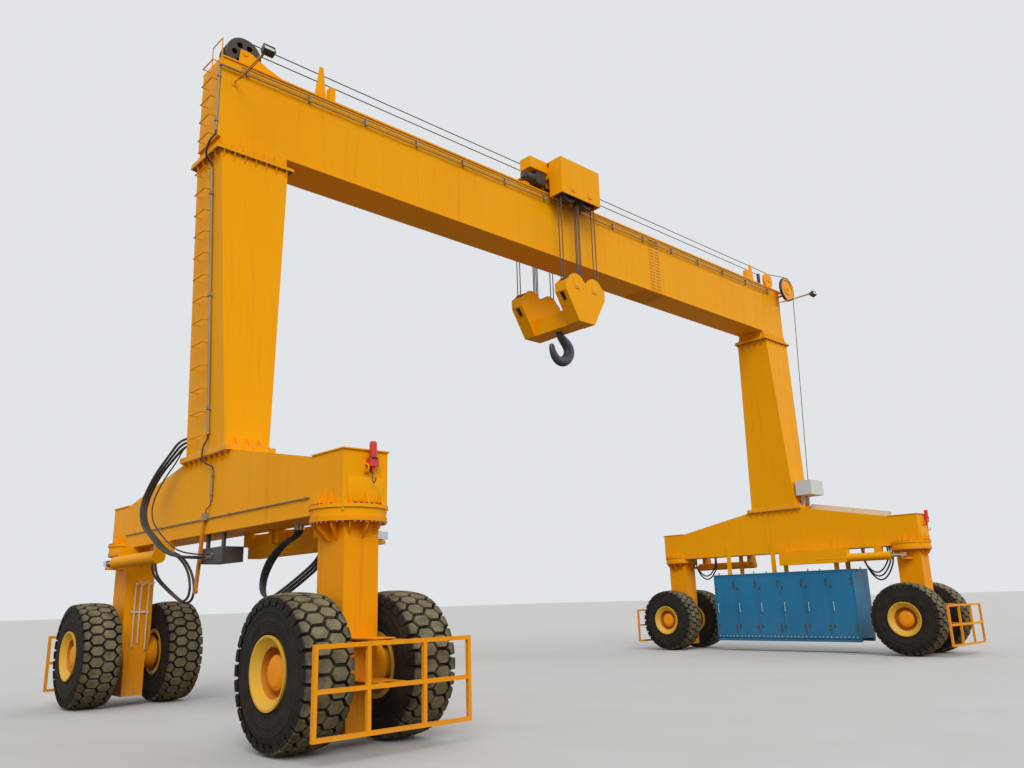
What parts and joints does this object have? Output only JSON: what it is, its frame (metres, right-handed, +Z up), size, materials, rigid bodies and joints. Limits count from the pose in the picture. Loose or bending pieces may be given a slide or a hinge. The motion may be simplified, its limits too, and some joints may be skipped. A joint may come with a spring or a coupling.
{
  "type": "rubber tyred gantry crane",
  "caption": "Rubber tyred portal gantry crane: box girder on two tapered legs, travelling trolley with hook block and hook, steered twin-tyre kingposts and a power pack under one beam.",
  "frame": {"origin": "on the ground, at the middle of the crane's footprint", "axes": "+X along the main girder from the leg with the ladder to the leg with the power pack, +Y along the ground beams to the rear, +Z up"},
  "size_m": [20.172, 9.95, 12.23],
  "materials": {
    "crane_paint": "semi-gloss paint, dusty low down",
    "cabinet_paint": "satin paint",
    "pale_paint": "matt paint",
    "beacon_red": "gloss",
    "dark_fittings": "satin, greasy",
    "sheave_iron": "worn cast iron",
    "hook_steel": "forged, dark",
    "wire_rope": "greased wire rope",
    "hose": "matt rubber",
    "rod_chrome": "hard chrome",
    "tyre": "dusty rubber"
  },
  "bodies": {
    "frame": {"girder": "crane_paint", "leg_left": "crane_paint", "leg_right": "crane_paint", "beam_left": "crane_paint", "beam_right": "crane_paint", "ladder": "crane_paint", "haul_ropes": "wire_rope", "conduits": "dark_fittings", "floodlights": "dark_fittings", "power_pack": "cabinet_paint", "cable_tray": "pale_paint", "control_box": "pale_paint", "beacons": "beacon_red", "steer_barrels_left": "crane_paint", "steer_barrels_right": "crane_paint", "valve_block": "dark_fittings", "hoses": "hose", "hanging_bar": "crane_paint"},
    "head_sheave": {"head_sheave": "sheave_iron"},
    "tail_sheave": {"tail_sheave": "crane_paint"},
    "trolley": {"trolley_frame": "crane_paint", "trolley_sheaves": "sheave_iron", "trolley_drive": "dark_fittings", "hoist_ropes": "wire_rope"},
    "hook_block": {"block_cheek_front": "crane_paint", "block_cheek_rear": "crane_paint", "block_cross_beam": "crane_paint", "block_sheaves": "sheave_iron"},
    "hook": {"hook": "hook_steel"},
    "kingpost_fl": {"kingpost_fl": "crane_paint", "guard_fl": "crane_paint"},
    "steer_rod_fl": {"steer_rod_fl": "rod_chrome"},
    "wheel_flo": {"tyre_flo": "tyre", "rim_flo": "crane_paint"},
    "wheel_fli": {"tyre_fli": "tyre", "rim_fli": "crane_paint"},
    "kingpost_rl": {"kingpost_rl": "crane_paint", "guard_rl": "crane_paint"},
    "steer_rod_rl": {"steer_rod_rl": "rod_chrome"},
    "wheel_rlo": {"tyre_rlo": "tyre", "rim_rlo": "crane_paint"},
    "wheel_rli": {"tyre_rli": "tyre", "rim_rli": "crane_paint"},
    "kingpost_fr": {"kingpost_fr": "crane_paint", "guard_fr": "crane_paint"},
    "steer_rod_fr": {"steer_rod_fr": "rod_chrome"},
    "wheel_fro": {"tyre_fro": "tyre", "rim_fro": "crane_paint"},
    "wheel_fri": {"tyre_fri": "tyre", "rim_fri": "crane_paint"},
    "kingpost_rr": {"kingpost_rr": "crane_paint", "guard_rr": "crane_paint"},
    "steer_rod_rr": {"steer_rod_rr": "rod_chrome"},
    "wheel_rro": {"tyre_rro": "tyre", "rim_rro": "crane_paint"},
    "wheel_rri": {"tyre_rri": "tyre", "rim_rri": "crane_paint"}
  },
  "joints": [
    {"name": "trolley_travel", "type": "slide", "parent": "frame", "child": "trolley", "axis": [1, 0, 0], "range_m": [-5.2, 7.5]},
    {"name": "hoist", "type": "slide", "parent": "trolley", "child": "hook_block", "axis": [0, 0, 1], "range_m": [-6.9, 1], "deforming": ["hoist_ropes"]},
    {"name": "hook_swivel", "type": "hinge", "parent": "hook_block", "child": "hook", "pos_m": [-0.65, 0, 8.03], "axis": [0, 0, 1], "continuous": true},
    {"name": "head_sheave_spin", "type": "hinge", "parent": "frame", "child": "head_sheave", "pos_m": [-9.14, 0, 11.79], "axis": [0, 1, 0], "continuous": true},
    {"name": "tail_sheave_spin", "type": "hinge", "parent": "frame", "child": "tail_sheave", "pos_m": [9.63, -0.72, 11.393], "axis": [0, 1, 0], "continuous": true},
    {"name": "steer_fl", "type": "hinge", "parent": "frame", "child": "kingpost_fl", "pos_m": [-8.966, -3.827, 2.5], "axis": [0, 0, 1], "range_deg": [-20, 20]},
    {"name": "steer_stroke_fl", "type": "slide", "parent": "frame", "child": "steer_rod_fl", "axis": [0, 1, 0], "range_m": [-0.172, 0.172]},
    {"name": "roll_flo", "type": "hinge", "parent": "kingpost_fl", "child": "wheel_flo", "pos_m": [-9.716, -3.827, 0.935], "axis": [1, 0, 0], "continuous": true},
    {"name": "roll_fli", "type": "hinge", "parent": "kingpost_fl", "child": "wheel_fli", "pos_m": [-8.216, -3.827, 0.935], "axis": [1, 0, 0], "continuous": true},
    {"name": "steer_rl", "type": "hinge", "parent": "frame", "child": "kingpost_rl", "pos_m": [-8.966, 3.827, 2.5], "axis": [0, 0, 1], "range_deg": [-20, 20]},
    {"name": "steer_stroke_rl", "type": "slide", "parent": "frame", "child": "steer_rod_rl", "axis": [0, 1, 0], "range_m": [-0.172, 0.172]},
    {"name": "roll_rlo", "type": "hinge", "parent": "kingpost_rl", "child": "wheel_rlo", "pos_m": [-9.716, 3.827, 0.935], "axis": [1, 0, 0], "continuous": true},
    {"name": "roll_rli", "type": "hinge", "parent": "kingpost_rl", "child": "wheel_rli", "pos_m": [-8.216, 3.827, 0.935], "axis": [1, 0, 0], "continuous": true},
    {"name": "steer_fr", "type": "hinge", "parent": "frame", "child": "kingpost_fr", "pos_m": [8.966, -3.827, 2.5], "axis": [0, 0, 1], "range_deg": [-20, 20]},
    {"name": "steer_stroke_fr", "type": "slide", "parent": "frame", "child": "steer_rod_fr", "axis": [0, 1, 0], "range_m": [-0.172, 0.172]},
    {"name": "roll_fro", "type": "hinge", "parent": "kingpost_fr", "child": "wheel_fro", "pos_m": [9.716, -3.827, 0.935], "axis": [1, 0, 0], "continuous": true},
    {"name": "roll_fri", "type": "hinge", "parent": "kingpost_fr", "child": "wheel_fri", "pos_m": [8.216, -3.827, 0.935], "axis": [1, 0, 0], "continuous": true},
    {"name": "steer_rr", "type": "hinge", "parent": "frame", "child": "kingpost_rr", "pos_m": [8.966, 3.827, 2.5], "axis": [0, 0, 1], "range_deg": [-20, 20]},
    {"name": "steer_stroke_rr", "type": "slide", "parent": "frame", "child": "steer_rod_rr", "axis": [0, 1, 0], "range_m": [-0.172, 0.172]},
    {"name": "roll_rro", "type": "hinge", "parent": "kingpost_rr", "child": "wheel_rro", "pos_m": [9.716, 3.827, 0.935], "axis": [1, 0, 0], "continuous": true},
    {"name": "roll_rri", "type": "hinge", "parent": "kingpost_rr", "child": "wheel_rri", "pos_m": [8.216, 3.827, 0.935], "axis": [1, 0, 0], "continuous": true}
  ],
  "couplings": [
    {"joint": "head_sheave_spin", "follows": "trolley_travel", "rad_per_m": 3.012},
    {"joint": "tail_sheave_spin", "follows": "trolley_travel", "rad_per_m": 2.538},
    {"joint": "steer_stroke_fl", "follows": "steer_fl", "m_per_rad": 0.48991},
    {"joint": "steer_stroke_rl", "follows": "steer_rl", "m_per_rad": -0.48991},
    {"joint": "steer_stroke_fr", "follows": "steer_fr", "m_per_rad": -0.48991},
    {"joint": "steer_stroke_rr", "follows": "steer_rr", "m_per_rad": 0.48991}
  ]
}
